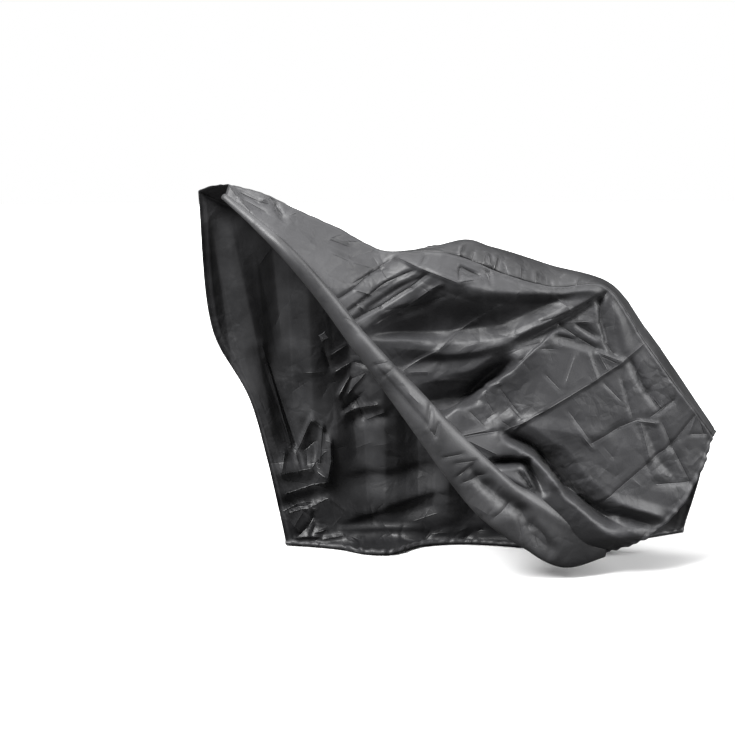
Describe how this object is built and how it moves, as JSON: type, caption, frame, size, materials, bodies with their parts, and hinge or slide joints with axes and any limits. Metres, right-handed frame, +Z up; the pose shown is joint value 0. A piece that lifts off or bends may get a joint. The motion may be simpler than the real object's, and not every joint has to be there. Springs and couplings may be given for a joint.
{
  "type": "bicycle cover",
  "caption": "Draped fitted cover of thin black polyester for a bicycle, hollow, the front half of one side rolled back into a diagonal roll.",
  "frame": {"origin": "on the floor under the middle of the cover's box", "axes": "+X towards the cover's tail, along its length; -Y towards the side that is rolled back; +Z up"},
  "size_m": [1.5883, 0.5873, 1.1787],
  "materials": {
    "woven_polyester": "thin black plain-weave polyester, satin outside and smoother, coated inside",
    "grey_webbing": "matte woven patch"
  },
  "bodies": {
    "root": {"near_side_panel": "woven_polyester", "top_gusset": "woven_polyester", "far_side_panel": "woven_polyester", "reinforcing_patch": "grey_webbing"}
  },
  "joints": []
}
